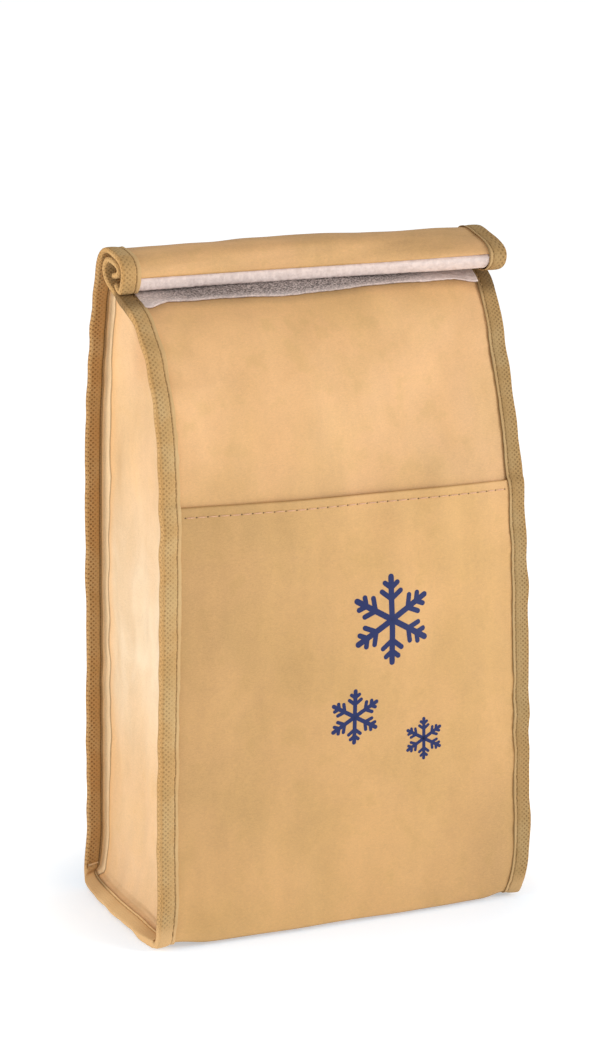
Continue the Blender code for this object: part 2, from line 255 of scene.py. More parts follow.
# ---------------------------------------------------------------- meshes
def quads(index):
    """Quads of a grid of vertex numbers."""
    a, b, c, d = index[:-1, :-1], index[1:, :-1], index[1:, 1:], index[:-1, 1:]
    return np.stack([a, b, c, d], axis=-1).reshape(-1, 4)


def link(name, data):
    """A new object in the scene, at the origin, holding a mesh, a camera or a light."""
    obj = bpy.data.objects.new(name, data)
    bpy.context.scene.collection.objects.link(obj)
    return obj


def smooth_piece(name, mesh, finish):
    """A mesh shaded smooth and put in the scene with its finish."""
    mesh.polygons.foreach_set("use_smooth", np.ones(len(mesh.polygons), bool))
    mesh.materials.append(finish)
    mesh.update()
    return link(name, mesh)


def make(name, points, faces, uv, finish, thickness=None):
    """A mesh object from points in mm, quads and a UV pair in mm for each point, with its finish;
    a thickness makes a closed sheet of it, half on each side of the points."""
    points, uv = points.reshape(-1, 3), uv.reshape(-1, 2)
    mesh = bpy.data.meshes.new(name)
    mesh.from_pydata((points * MM).tolist(), [], faces.tolist())
    layer = mesh.uv_layers.new(name="cut")
    corner = np.empty(len(mesh.loops), np.int32)
    mesh.loops.foreach_get("vertex_index", corner)
    layer.data.foreach_set("uv", (uv[corner] * MM).astype(np.float32).ravel())
    obj = smooth_piece(name, mesh, finish)
    if thickness:
        solid = obj.modifiers.new("thickness", "SOLIDIFY")
        solid.thickness = thickness * MM
        solid.offset = 0.0
    return obj


def grid_sheet(name, points, uv, finish, thickness, flip=False):
    """A closed sheet on a grid of points."""
    index = np.arange(points.shape[0] * points.shape[1]).reshape(points.shape[:2])
    faces = quads(index)
    return make(name, points, faces[:, ::-1] if flip else faces, uv, finish, thickness)


def spread(step, fine=1.2, margin=6.0):
    """Distances across from cut edge to cut edge: step mm apart, and fine mm apart from margin mm
    inside the seams outward."""
    inner = HALF_SEAM - margin
    edge = np.linspace(inner, CUT_EDGE, int((CUT_EDGE - inner) / fine) + 1)
    middle = np.linspace(-inner, inner, int(2 * inner / step) + 1)
    return np.concatenate([-edge[::-1], middle[1:-1], edge])


# ---------------------------------------------------------------- shader maths
class Wire:
    """A shader socket; arithmetic on it adds Math nodes."""

    def __init__(self, finish, socket):
        self.finish, self.socket = finish, socket

    def math(self, operation, *others):
        values = dict(enumerate((self, *others)))
        return self.finish.add("ShaderNodeMath", {"operation": operation}, values)

    def __add__(self, other):
        return self.math("ADD", other)

    def __sub__(self, other):
        return self.math("SUBTRACT", other)

    def __mul__(self, other):
        return self.math("MULTIPLY", other)

    def __truediv__(self, other):
        return self.math("DIVIDE", other)

    def __rsub__(self, other):
        return self * -1.0 + other

    def __pow__(self, power):
        return self.math("POWER", power)

    __radd__ = __add__
    __rmul__ = __mul__

    def clamp(self):
        """The value held between 0 and 1."""
        return self.finish.add("ShaderNodeClamp", {}, {0: self})

    def wave(self, length, shift=0.0):
        """A sine of this length along the value, from -1 to 1."""
        return (self * (2 * math.pi / length) + shift).math("SINE")

    def bump_at(self, centre, width):
        """1 at the centre, falling to 0 at width on both sides."""
        return (1.0 - ((self - centre).math("ABSOLUTE") * (1.0 / width))).clamp()

    def ease(self, low, high):
        """0 below low, 1 above high, smooth between."""
        settings = {"interpolation_type": "SMOOTHSTEP"}
        return self.finish.add("ShaderNodeMapRange", settings, {0: self, 1: low, 2: high})


class Finish:
    """A material: its nodes are added by expressions, and one Principled shader ends them."""

    def __init__(self, name):
        self.material = bpy.data.materials.new(name)
        self.material.use_nodes = True
        self.tree = self.material.node_tree
        self.shader = self.tree.nodes["Principled BSDF"]

    def add(self, kind, settings, values, output=0):
        """Adds a node: its settings first, then the values or links of its sockets."""
        node = self.tree.nodes.new(kind)
        for key, value in settings.items():
            setattr(node, key, value)
        for key, value in values.items():
            if isinstance(value, Wire):
                self.tree.links.new(value.socket, node.inputs[key])
            else:
                node.inputs[key].default_value = value
        return Wire(self, node.outputs[output])

    def place(self):
        """Position on the bag, in metres."""
        return self.add("ShaderNodeTexCoord", {}, {}, "Object")

    def parts(self, vector):
        """The three parts of a vector."""
        node = self.add("ShaderNodeSeparateXYZ", {}, {0: vector}).socket.node
        return [Wire(self, socket) for socket in node.outputs]

    def cut(self):
        """The piece's own pattern coordinates as (across, along), in mm."""
        across, along, _ = self.parts(self.add("ShaderNodeUVMap", {"uv_map": "cut"}, {}))
        return across * 1000.0, along * 1000.0

    def noise(self, at, scale, detail=3.0, rough=0.55, warp=0.0):
        """Soft noise from 0 to 1, scale grains to a metre."""
        values = {"Vector": at, "Scale": scale, "Detail": detail, "Roughness": rough, "Distortion": warp}
        return self.add("ShaderNodeTexNoise", {}, values, "Fac")

    def stretch(self, at, factors):
        """A position with its axes scaled."""
        return self.add("ShaderNodeVectorMath", {"operation": "MULTIPLY"}, {0: at, 1: factors})

    def mix(self, share, first, second, blend="MIX"):
        """Two colours mixed by share."""
        node = self.tree.nodes.new("ShaderNodeMix")
        node.data_type, node.blend_type = "RGBA", blend
        for key, value in ((0, share), (6, first), (7, second)):
            if isinstance(value, Wire):
                self.tree.links.new(value.socket, node.inputs[key])
            elif key:
                node.inputs[key].default_value = (*value, 1.0)
            else:
                node.inputs[key].default_value = value
        return Wire(self, node.outputs[2])

    def bump(self, height, strength=1.0):
        """A normal bent by a height in mm."""
        return self.add("ShaderNodeBump", {}, {"Strength": strength, "Distance": MM, "Height": height})

    def done(self, colour, roughness, normal=None, **fixed):
        """Joins the shader: colour, roughness and normal may vary, the rest is one value each."""
        for key, value in (("Base Color", colour), ("Roughness", roughness), ("Normal", normal)):
            if isinstance(value, Wire):
                self.tree.links.new(value.socket, self.shader.inputs[key])
            elif value is not None:
                self.shader.inputs[key].default_value = value
        for key, value in fixed.items():
            self.shader.inputs[key.replace("_", " ")].default_value = value
        return self.material


def linear(red, green, blue):
    """A screen colour of 0 to 255 as shader values."""
    return tuple(((c / 255 + 0.055) / 1.055) ** 2.4 for c in (red, green, blue))


def kraft(name, tone, warm, dull, dress):
    """Kraft paper laminate: clouded colour between a warmer and a duller tone, fine fibre grain,
    soft dents and creases. dress adds what one panel has of its own, with its painted shade and light."""
    f = Finish(name)
    at = f.place()
    clouds = f.noise(at, 22.0, 4.0, 0.55, 0.4)
    blotch = f.noise(at, 75.0, 3.0, 0.6)
    fibre = f.noise(f.stretch(at, (700.0, 700.0, 1500.0)), 1.0, 2.0, 0.7)
    grain = f.noise(at, 2600.0, 1.0, 0.5)
    streaks = f.noise(f.stretch(at, (60.0, 60.0, 14.0)), 1.0, 3.0, 0.6)
    colour = f.mix(clouds.ease(0.38, 0.62), tone, warm)
    colour = f.mix(blotch.ease(0.52, 0.72) * 0.55, colour, dull)
    light = 1.0 + (fibre - 0.5) * 0.24 + (grain - 0.5) * 0.20 + (blotch - 0.5) * 0.16
    light = light + (clouds - 0.5) * 0.18 + (streaks - 0.5) * 0.22
    dents = f.noise(at, 45.0, 2.0, 0.5, 0.3)
    creases = f.add("ShaderNodeTexVoronoi", {"feature": "DISTANCE_TO_EDGE"},
                    {"Vector": f.stretch(at, (1.0, 1.0, 0.8)), "Scale": 30.0}, "Distance")
    height = dents * 0.65 + (1.0 - creases.ease(0.0, 0.10)) * 0.05 + fibre * 0.035 + grain * 0.012
    colour, light, height = dress(f, at, clouds, colour, light, height)
    shade = f.add("ShaderNodeCombineColor", {}, {0: light, 1: light, 2: light})
    colour = f.mix(1.0, colour, shade, "MULTIPLY")
    return f.done(colour, blotch * 0.12 + 0.50, f.bump(height), Specular_IOR_Level=0.35)


def dress_body(f, at, clouds, colour, light, height):
    """Body: painted shadow just below the front strip, painted shade darkening it down towards the
    pocket, darker to the right, and along the crest of the roll a painted shade at mid-width with
    rubbed, streaky mottling."""
    below = f.cut()[1]
    side, _, up = f.parts(at)
    # painted shade: darker down towards the pocket, where less light falls from above; darker to the
    # right too
    low = 1.0 - up.ease(0.19, 0.26)
    light = light + 0.05 - low * 0.15 - side.ease(0.0, 0.09) * 0.07
    # painted shadow of the front strip's edge on the paper just below it
    light = light - (1.0 - below.ease(0.0, 6.5)) * 0.26
    rubbed = f.noise(f.stretch(at, (14.0, 90.0, 90.0)), 1.0, 3.0, 0.6, 0.4)
    # painted shade at mid-width along the crest of the roll, with rubbed, streaky mottling
    crest = up.ease(0.300, 0.309)
    light = light - crest * (side.bump_at(0.005, 0.11) * 0.14 - (rubbed - 0.5) * 0.45)
    return colour, light, height + crest * rubbed * 0.5


def dress_pocket(f, at, clouds, colour, light, height):
    """Pocket: painted shade darkening it to the left and at the low right, a little painted light
    towards the bottom, and needle holes along the hem.
    """
    side, _, up = f.parts(at)
    # painted shade: darker to the left, where less light falls, and at the low right; painted light a
    # little towards the bottom
    left = (1.0 - (side + clouds * 0.03).ease(-0.085, 0.06)) * up.ease(0.0, 0.10)
    corner = side.ease(0.02, 0.09) * (1.0 - up.ease(0.02, 0.10))
    light = light + 0.03 - up.ease(0.0, 0.09) * 0.03 - left * 0.17 - corner * 0.19
    across, along = f.cut()
    beat = ((across + 500.0 * STITCH_PITCH) / STITCH_PITCH).math("FRACT")
    line = run_at(POCKET_TOP) + STITCH_DROP
    dark = (beat.bump_at(0.5, 0.11) * along.bump_at(line, 0.55)).ease(0.12, 0.5)
    return f.mix(dark * 0.72, colour, linear(70, 45, 35)), light, height - dark * 0.35


def dress_side(f, at, clouds, colour, light, height):
    """Side panel: paler clouds at mid-height as a painted highlight, a warm margin of painted shade
    and reflected light beside the back seam, a fine crease there darkened with painted shade, and
    painted shade in the tuck near the top."""
    from_back, up = f.cut()
    patch = f.noise(f.stretch(at, (30.0, 30.0, 18.0)), 1.0, 3.0, 0.6, 0.5)
    middle = up.ease(60.0, 130.0) * (1.0 - up.ease(150.0, 230.0))
    # painted highlight: paler clouds at mid-height, where the side is brightest lit
    colour = f.mix((patch.ease(0.30, 0.62) * 0.5 + 0.5) * middle, colour, linear(231, 205, 170))
    colour = f.mix(patch.ease(0.56, 0.72) * 0.30, colour, linear(224, 178, 124))
    wander = from_back + (clouds - 0.5) * 6.0
    # painted shade and reflected light: a warm margin in the corner by the back seam
    colour = f.mix((1.0 - wander.ease(5.0, 13.0)) * 0.50, colour, linear(236, 184, 124))
    colour = f.mix((1.0 - wander.ease(3.6, 4.4)) * 0.85, colour, linear(238, 208, 164))
    # painted shade darkens the fine crease, which also dents the height
    crease = wander.bump_at(4.4, 1.2)
    # painted shade, warm, in the tuck near the top
    drawn = up.ease(258.0, 284.0) * from_back.ease(17.0, 32.0)
    colour = f.mix(drawn * 0.6, colour, linear(216, 156, 98))
    light = light - 0.03 - crease * 0.50 - drawn * 0.12 + (patch - 0.5) * 0.16
    return colour, light, height - crease * 0.4


def binding_finish(name):
    """Embossed non-woven tape: pressed dots in a diagonal lattice, deepest towards the folded edge,
    a plain lighter selvage inside the stitch line, and a dark pricked groove along it."""
    f = Finish(name)
    across, along = f.cut()
    at = f.place()
    drift = (f.noise(at, 140.0, 2.0) - 0.5) * 0.8
    lattice = (across + drift).wave(2.5) * (along + drift).wave(2.35)
    hatch = (across * 0.9 + along).wave(1.3) * (across * 0.9 - along).wave(1.3) * 0.5 + 0.5
    ribs = ((across * 1.4 + along).wave(1.25) * 0.5 + 0.5) * across.ease(2.2, 3.0)
    edgeward = across.ease(3.2, 6.5) * 0.65 + 0.35
    patches = f.noise(at, 110.0, 3.0, 0.6)
    warm = f.noise(at, 55.0, 2.0, 0.5)
    side, depth, up = f.parts(at)
    right = side.ease(-0.02, 0.08)
    back = depth.ease(0.015, 0.035)
    under = 1.0 - up.ease(0.006, 0.014)
    dots = lattice.ease(0.10, 0.75) * (1.0 - under * 0.75)
    fuzz = f.noise(at, 1900.0, 2.0, 0.6)
    selvage = 1.0 - across.ease(1.3, 1.8)
    prick = along.wave(1.6) * 0.35 + 0.65
    groove = (across + along.wave(5.1) * 0.12).bump_at(GROOVE, 0.5) * prick
    colour = f.mix(warm.ease(0.38, 0.62), linear(210, 176, 124), linear(206, 164, 108))
    colour = f.mix(patches.ease(0.45, 0.75) * 0.5, colour, linear(190, 158, 106))
    colour = f.mix(across.ease(7.4, 8.8) * 0.5, colour, linear(204, 152, 88))
    colour = f.mix(ribs * 0.18, colour, linear(160, 124, 76))
    colour = f.mix(hatch * 0.34, colour, linear(150, 114, 66))
    strength = 0.38 + right * 0.24 + back * 0.42
    colour = f.mix(dots * edgeward * (1.0 - selvage) * strength, colour, linear(116, 82, 44))
    colour = f.mix(selvage * (0.35 + back * 0.5), colour, linear(226, 190, 140))
    colour = f.mix(groove * 0.70, colour, linear(92, 64, 34))
    colour = f.mix(under * 0.60, colour, linear(232, 188, 134))
    colour = f.mix(right * 0.36, colour, linear(120, 98, 62))
    # painted shadow along the right tape's inner edge, against the paper
    colour = f.mix(right * (1.0 - across.ease(0.1, 0.6)) * 0.45, colour, linear(96, 70, 38))
    colour = f.mix(back * across.ease(2.2, 3.2) * 0.26, colour, linear(136, 82, 30))
    # painted shade: a dark band on the back tape from its seam edge to just past the stitch groove
    colour = f.mix(back * (1.0 - across.ease(1.9, 3.2)) * 0.62, colour, linear(84, 54, 22))
    shaded = along.ease(run_at(7.0), run_at(7.6)) * (1.0 - along.ease(run_at(8.5), run_at(9.4)))
    colour = f.mix(shaded * 0.62, colour, linear(74, 52, 24))
    height = fuzz * 0.05 - dots * 0.20 * edgeward * (1.0 - selvage) - groove * 0.25 - ribs * 0.03
    return f.done(colour, patches * 0.1 + 0.78, f.bump(height), Specular_IOR_Level=0.2)


def pile_finish(name):
    """Brushed loop pile: pale, with grey fibre streaks and a rough nap; dark with painted, mottled
    shadow where it turns under the roll."""
    f = Finish(name)
    at = f.place()
    across, depth = f.cut()
    nap = f.noise(f.stretch(at, (1.0, 1.6, 1.6)), 900.0, 4.0, 0.7)
    tufts = f.noise(at, 300.0, 3.0, 0.65)
    colour = f.mix(tufts.ease(0.35, 0.65), linear(238, 220, 212), linear(224, 206, 199))
    colour = f.mix(nap.ease(0.55, 0.78) * 0.22, colour, linear(168, 154, 150))
    # painted shadow of the roll on the pile: weaker towards both ends, deeper further under, mottled by
    # the nap
    ends = 1.0 - across.ease(40.0, 72.0) * 0.80 - (1.0 - across.ease(-88.0, -62.0)) * 0.55
    ends = ends * (depth.ease(SHADE_FROM, SHADE_FROM + 4.5) * 0.55 + 0.45)
    roll_shadow = (depth + (tufts - 0.5) * 3.0).ease(SHADE_FROM - 1.6, SHADE_FROM + 1.2) * ends
    colour = f.mix(roll_shadow * (nap.ease(0.40, 0.58) * 0.60 + 0.30), colour, linear(70, 63, 62))
    return f.done(colour, 0.92, f.bump(nap * 0.25 + tufts * 0.2), Specular_IOR_Level=0.15)


def thread_finish(name, colour):
    """Twisted sewing thread."""
    f = Finish(name)
    twist = f.noise(f.place(), 1800.0, 2.0)
    pale = f.mix(twist.ease(0.4, 0.7) * 0.5, colour, tuple(c * 0.6 for c in colour))
    return f.done(pale, 0.6, f.bump(twist * 0.08), Specular_IOR_Level=0.3)


def ink_finish(name):
    """Navy screen print that lets a little of the paper's grain through."""
    f = Finish(name)
    at = f.place()
    wear = f.noise(at, 900.0, 3.0, 0.6)
    colour = f.mix(wear.ease(0.55, 0.85) * 0.30, linear(17, 33, 88), linear(38, 52, 106))
    return f.done(colour, 0.48, f.bump(wear * 0.03), Specular_IOR_Level=0.35)


# ---------------------------------------------------------------- the bag's pieces
def body_panel(paper):
    """Front, base and back in one strip; both ends lie in the rolled mouth."""
    t = rows(0.0, BACK_RIM)[:, None]
    s = spread(2.4)[None, :]
    t = t - smooth((t - 36.5) / 3.0) * (BACK_RIM - body_rim(s))
    uv = np.stack(np.broadcast_arrays(s, run_at(t) - run_at(front_strip_edge(s))), axis=-1)
    return grid_sheet("body_panel_paper", lifted(t, s, -PAPER / 2), uv, paper, PAPER)


def pocket_height(t, s):
    """How far the pocket's outer layer stands off the front: it gapes a little at mid-width."""
    below = run_at(t) - run_at(POCKET_TOP)
    gape = 1.1 * smooth(1 - np.abs(s) / 80.0) * np.exp(-np.clip(below, 0, None) / 22.0)
    return GAP + POCKET_PAPER + 0.15 + POCKET_PAPER / 2 + gape


def pocket_panel(paper):
    """Slip pocket: a sheet down the front with its hem turned in behind the top edge."""
    top = run_at(POCKET_TOP)
    s = spread(2.0)[None, :]
    turned = place_at(top + np.array([HEM_DEPTH, 5.0, 2.5, 1.0, 0.35]))[:, None]
    wall = np.concatenate([place_at(top + np.array([0.35, 1.0, 2.2, 3.6, 5.0])),
                           rows(place_at(top + 6.4), FOOT_FRONT, 2.2)])[:, None]
    edge = np.array([[POCKET_TOP]])
    behind = GAP + POCKET_PAPER / 2 + 0 * s
    front = pocket_height(wall, s)
    fold = (behind + pocket_height(edge, s)) / 2
    gape = pocket_height(turned, s) - pocket_height(turned, np.full_like(s, CUT_EDGE))
    t = np.concatenate([turned, edge, wall])
    offset = np.concatenate([behind + gape, fold, front])
    along = np.concatenate([2 * top - run_at(turned), run_at(edge), run_at(wall)])
    uv = np.stack(np.broadcast_arrays(s, along), axis=-1)
    return grid_sheet("pocket_panel_paper", lifted(t, s, offset), uv, paper, POCKET_PAPER, flip=True)


def tape_offsets(t):
    """Offsets of the binding's outer and inner legs along the strip."""
    pocket = smooth((t - POCKET_TOP + 0.04) / 0.06) * smooth((FOOT_FRONT + 0.4 - t) / 0.4)
    gusset = smooth((t - SHOULDER_FRONT + 0.8) / 0.8) * smooth((SHOULDER_BACK + 0.8 - t) / 0.8)
    over = GAP + TAPE / 2 + pocket * (2 * POCKET_PAPER + 0.15)
    under = -(PAPER + GAP + TAPE / 2) - gusset * (PAPER + GAP + 0.1)
    return over, under


def binding(name, side, tape):
    """Tape folded round a side edge, swept along the whole edge of the strip: a U in section whose
    legs dip along the stitch line and whose edges waver. u is the distance out from the seam."""
    fold_at, full, last = 9.2, 9.0, 8.9
    t = rows(0.0, LAST, 1.5, 0.6)
    run = run_at(t)
    over, under = tape_offsets(t)
    edge = BINDING_WIDTH - TAPE / 2 + 0.16 * ripple(run, 0.0, 24.0, 21 + side)
    inner = 0.15 + 0.22 * ripple(run, 0.0, 30.0, 31 + side) + 0.10 * ripple(run, 0.0, 9.0, 41 + side)
    u_out = np.array([0.0, 0.4, 0.8, 1.2, 1.6, 1.95, 2.3, 2.7, 3.5, 4.5, 5.5, 6.5, 7.5, 8.3, last])
    dip = 0.28 * np.exp(-((u_out - GROOVE) / 0.40) ** 2)
    curl = 0.22 * np.exp(-u_out / 0.7)
    swell = 0.24 * np.sin(np.pi * np.clip((u_out - GROOVE) / (BINDING_WIDTH - GROOVE), 0, 1))
    quilt = 0.06 * ripple(run, 0.0, 6.0, 51)[:, None]
    waver = (edge - fold_at)[:, None] / full
    outer_u = u_out + inner[:, None] * np.exp(-u_out / 1.2) + waver * u_out
    outer_o = over[:, None] - dip + curl * (1 + quilt * 4) + swell + quilt
    web_turn = np.linspace(0.15, 0.85, 4) * np.pi
    middle, half = (over + under) / 2, (over - under) / 2
    web_u = edge[:, None] - 0.75 + 0.75 * np.sin(web_turn)
    web_o = middle[:, None] + half[:, None] * np.cos(web_turn)
    u_in = (u_out[:1:-1] - GROOVE) * (last - INNER_GROOVE) / (last - GROOVE) + INNER_GROOVE
    inner_u = u_in + waver * u_in
    dip_in = 0.28 * np.exp(-((u_in - INNER_GROOVE) / 0.40) ** 2)
    swell_in = 0.22 * np.sin(np.pi * np.clip((u_in - INNER_GROOVE) / 6.7, 0, 1))
    fold = sum(depth * np.exp(-((run[:, None] - run_at(place)) / width) ** 2)
               for place, depth, width in CORNER_FOLDS)
    inner_o = under[:, None] + dip_in - swell_in + fold * smooth((u_in - 1.2) / 3.0)
    u = np.concatenate([outer_u, web_u, inner_u], axis=1)
    offset = np.concatenate([outer_o, web_o, inner_o], axis=1)
    points = lifted(t[:, None], side * (HALF_SEAM + u), offset)
    wrap = u_out[-1] + half[:, None] * np.minimum(web_turn, np.pi - web_turn)
    across = np.concatenate([outer_u, wrap, inner_u + GROOVE - INNER_GROOVE], axis=1)
    uv = np.stack(np.broadcast_arrays(across, run[:, None]), axis=-1)
    return grid_sheet(name, points, uv, tape, TAPE, flip=side < 0)


def gusset(name, side, paper):
    """Side panel: a wall patched between the front, base and back seams, and a bent-out edge. The
    patch runs straight from the front to the back seam at each level, and takes on the base's line
    towards the foot; it is hollowed, creased, puckered and, near the top, tucked."""
    under = PAPER + GAP + PAPER / 2
    front = place_at(np.linspace(run_at(SHOULDER_FRONT), run_at(FOOT_FRONT), 120))
    back = 2 * BASE_MIDDLE - front
    base = place_at(np.linspace(run_at(FOOT_FRONT), run_at(FOOT_BACK), 34))
    loop = np.concatenate([front[:-1], base, back[::-1][1:]])
    levels, steps = len(front), len(base)
    # distance out from the seam and depth under the body, from the cut edge to the wall
    bend = ((SEAM_ALLOWANCE - 0.4, 0.0), (5.5, 0.0), (3.0, 0.0), (1.2, 0.0), (0.2, 0.12),
            (-0.45, 0.55), (-0.7, 1.4))
    rim = [lifted(loop, side * (HALF_SEAM + u), -under - drop) for u, drop in bend]
    wall = rim[-1]
    f, b, m = wall[:levels], wall[levels + steps - 2:][::-1], wall[levels - 1:levels + steps - 1]
    v = np.linspace(0, 1, levels)[:, None, None]
    h = np.linspace(0, 1, steps)[None, :, None]
    patch = f[:, None] * (1 - h) + b[:, None] * h + (m[None] - (m[0] * (1 - h) + m[-1] * h)) * v**6
    height, depth = patch[..., 2].copy(), patch[..., 1].copy()
    across = h[..., 0]
    seam = np.minimum(np.minimum(across, 1 - across) * 90.0, np.clip(height - 4, 0, None))
    pinch = 1.5 + 7.0 * smooth((height - 225.0) / 80.0)
    hollow = np.sin(np.pi * across) ** 2 * smooth((height - 6.0) / 40.0)
    crease = np.exp(-((depth - 2.0 - 3.0 * ripple(height, 0.0, 150.0, 71 + side)) / 5.0) ** 2)
    free = smooth(seam / 14.0)
    soft = 0.75 * ripple(depth * 1.6, height, 85.0, 73 + side)
    soft = soft + 0.30 * ripple(depth * 2.2, height, 42.0, 75)
    drawn = 0.40 * ripple(height, depth * 0.25, 21.0, 77 + side)
    drawn = drawn * np.exp(-seam / 6.0) * smooth(seam / 2.5)
    from_front = across * np.linalg.norm(b - f, axis=-1)[:, None]
    tuck = 7.0 * np.exp(-((from_front - 24.0) / 4.5) ** 2)
    ridge = 2.2 * np.exp(-((from_front - 34.0) / 4.0) ** 2)
    tuck = (tuck - ridge) * smooth((height - 264.0) / 30.0)
    inward = pinch * hollow + crease * 0.8 * smooth((height - 150.0) / 110.0)
    inward = inward - soft * free - drawn + tuck
    patch[..., 0] -= side * inward
    patch[..., 2] -= 8.0 * smooth((height - 250.0) / 60.0) * np.sin(np.pi * across)
    band = np.stack(rim, axis=1)
    columns = band.shape[1]
    points = np.concatenate([band.reshape(-1, 3), patch[:-1, 1:-1].reshape(-1, 3)])
    around = np.arange(len(loop)) * columns + columns - 1
    index = np.empty((levels, steps), int)
    index[:, 0] = around[:levels]
    index[-1, :] = around[levels - 1:levels + steps - 1]
    index[:, -1] = around[levels + steps - 2:][::-1]
    inside = np.arange((levels - 1) * (steps - 2)).reshape(levels - 1, -1)
    index[:-1, 1:-1] = len(loop) * columns + inside
    edge = np.arange(len(loop) * columns).reshape(-1, columns)
    faces = np.concatenate([quads(edge), quads(index)])
    back_line = np.interp(points[:, 2], b[::-1, 2], b[::-1, 1])
    uv = np.stack([back_line - points[:, 1], points[:, 2]], axis=1)
    return make(name, points, faces[:, ::-1] if side > 0 else faces, uv, paper, PAPER)


def late(s):
    """0 over most of the width, rising to 1 at the right seam."""
    return ((1 + np.clip(s / HALF_SEAM, -1, 1)) / 2) ** 4


def body_rim(s):
    """Place of the flap's paper edge: it is cut back towards the right."""
    return BACK_RIM - 0.10 - 0.45 * late(s)


def front_strip_edge(s):
    """Place of the front strip's lower edge: it droops at both ends, and is higher at the right."""
    k = s / HALF_SEAM
    return 8.68 - 0.64 * smooth((k + 0.7) / 1.6) + 0.30 * smooth((np.abs(k) - 0.86) / 0.13)


def pile_strip(name, start, end, offset, below, seed, pile):
    """A touch-fastener strip between two edges given along its width: a thick sheet with a tufted
    face. below is how far along the strip a point lies for the pile's colour, in mm."""
    half = HALF_SEAM + 0.6
    s = np.linspace(-half, half, 420)[None, :]
    v = np.linspace(0.0, 1.0, 34)[:, None]
    waver = 0.012 * ripple(s, 0.0, 26.0, seed + 2) + 0.006 * ripple(s, 0.0, 7.0, seed + 3)
    t = start + (end(s) + waver - start) * v
    run = run_at(t)
    tuft = 0.05 * ripple(s, run, 3.2, seed, 24) + 0.03 * ripple(s, run, 1.5, seed + 1, 24)
    points = lifted(t, s, offset(t, s) + tuft)
    uv = np.stack(np.broadcast_arrays(s, below(t, s)), axis=-1)
    return grid_sheet(name, points, uv, pile, STRIP)


def flap_strip(pile):
    """Strip inside the flap: it bulges out below the paper's edge and turns under."""
    return pile_strip("flap_strip_pile", FLAP_STRIP_TOP, lambda s: LAST + 0 * s,
                      lambda t, s: -PAPER - GAP - STRIP / 2 + 0.85 * smooth((t - body_rim(s)) / 0.4),
                      lambda t, s: run_at(t) - run_at(body_rim(s)), 81, pile)


def front_strip(pile):
    """Strip across the front, in the shade of the roll but for its lower edge."""
    lit = SHADE_FROM + 0.6
    return pile_strip("front_strip_pile", FRONT_STRIP_TOP, front_strip_edge,
                      lambda t, s: GAP + STRIP / 2 + 0 * t * s,
                      lambda t, s: lit + run_at(front_strip_edge(s)) - run_at(t), 91, pile)


def stitching(name, starts, ends, normals, radius, thread):
    """A row of stitches in one piece. Each is a closed tube from its start to its end, tapered at
    both, whose middle bows outward like half a sine wave."""
    sides, bow = 6, 0.12
    taper = np.array([0.25, 0.9, 1.0, 0.9, 0.25])
    share = np.linspace(0, 1, len(taper))[:, None]
    reach = ends - starts
    axis = reach / np.linalg.norm(reach, axis=-1, keepdims=True)
    side = np.cross(axis, normals)
    side /= np.linalg.norm(side, axis=-1, keepdims=True)
    up = np.cross(side, axis)
    centre = starts[:, None] + reach[:, None] * share + normals[:, None] * np.sin(np.pi * share) * bow
    angle = np.linspace(0, 2 * np.pi, sides, endpoint=False)[:, None]
    ring = np.cos(angle) * side[:, None] + np.sin(angle) * up[:, None]
    points = centre[:, :, None] + radius * taper[:, None, None] * ring[:, None]
    index = np.arange(points.size // 3).reshape(points.shape[:3])
    after = np.roll(index, -1, axis=2)
    walls = np.stack([index[:, :-1], after[:, :-1], after[:, 1:], index[:, 1:]], axis=-1)
    caps = np.stack([index[:, 0, ::-1], index[:, -1]], axis=1)
    faces = walls.reshape(-1, 4).tolist() + caps.reshape(-1, sides).tolist()
    mesh = bpy.data.meshes.new(name)
    mesh.from_pydata((points.reshape(-1, 3) * MM).tolist(), [], faces)
    return smooth_piece(name, mesh, thread)


def pocket_stitches(thread):
    """Lock stitches along the pocket's hem, each between two needle holes."""
    number = np.arange(-16, 15)
    left = (number + 0.5) * STITCH_PITCH + HOLE_MARGIN
    right = (number + 1.5) * STITCH_PITCH - HOLE_MARGIN
    t = np.full(len(number), place_at(run_at(POCKET_TOP) + STITCH_DROP))
    lift_by = pocket_height(t, left) + POCKET_PAPER / 2 + 0.05
    starts, ends = lifted(t, left, lift_by), lifted(t, right, lift_by)
    return stitching("pocket_hem_thread", starts, ends, outward(t, left), 0.30, thread)


def binding_stitches(name, side, thread):
    """A tight row of stitches in the binding's groove, on its outer leg."""
    pitch, gap, sunk = 3.4, 0.5, 0.02
    run = np.arange(4.0, RUN[-1] - 4.0, pitch)
    a, b = place_at(run + gap), place_at(run + pitch - gap)
    wander = 0.22 * np.where(np.arange(len(run)) % 2, 1.0, -1.0)
    starts = lifted(a, side * (HALF_SEAM + GROOVE + wander), tape_offsets(a)[0] - sunk)
    ends = lifted(b, side * (HALF_SEAM + GROOVE - wander), tape_offsets(b)[0] - sunk)
    return stitching(name, starts, ends, outward(a, side * (HALF_SEAM + GROOVE)), 0.22, thread)


# ---------------------------------------------------------------- generic print
def stroke(start, end, width, steps=14):
    """A round-ended stroke on the pocket, as a grid of (across, down) points in mm."""
    start, end = np.array(start, float), np.array(end, float)
    length = np.linalg.norm(end - start)
    axis = (end - start) / length
    normal = np.array([-axis[1], axis[0]])
    half = width / 2
    cap = half * (1 - np.cos(np.linspace(0, np.pi / 2, 5)))
    between = np.linspace(0, length, steps)[1:-1]
    line = np.concatenate([cap - half, between, (length + half - cap)[::-1]])
    beyond = np.clip(np.maximum(-line, line - length), 0, half)
    reach = np.sqrt(np.clip(half**2 - beyond**2, (0.02 * half) ** 2, None))
    v = np.linspace(-1, 1, 4)
    return start + axis * line[:, None, None] + normal * (reach[:, None] * v[None, :])[..., None]


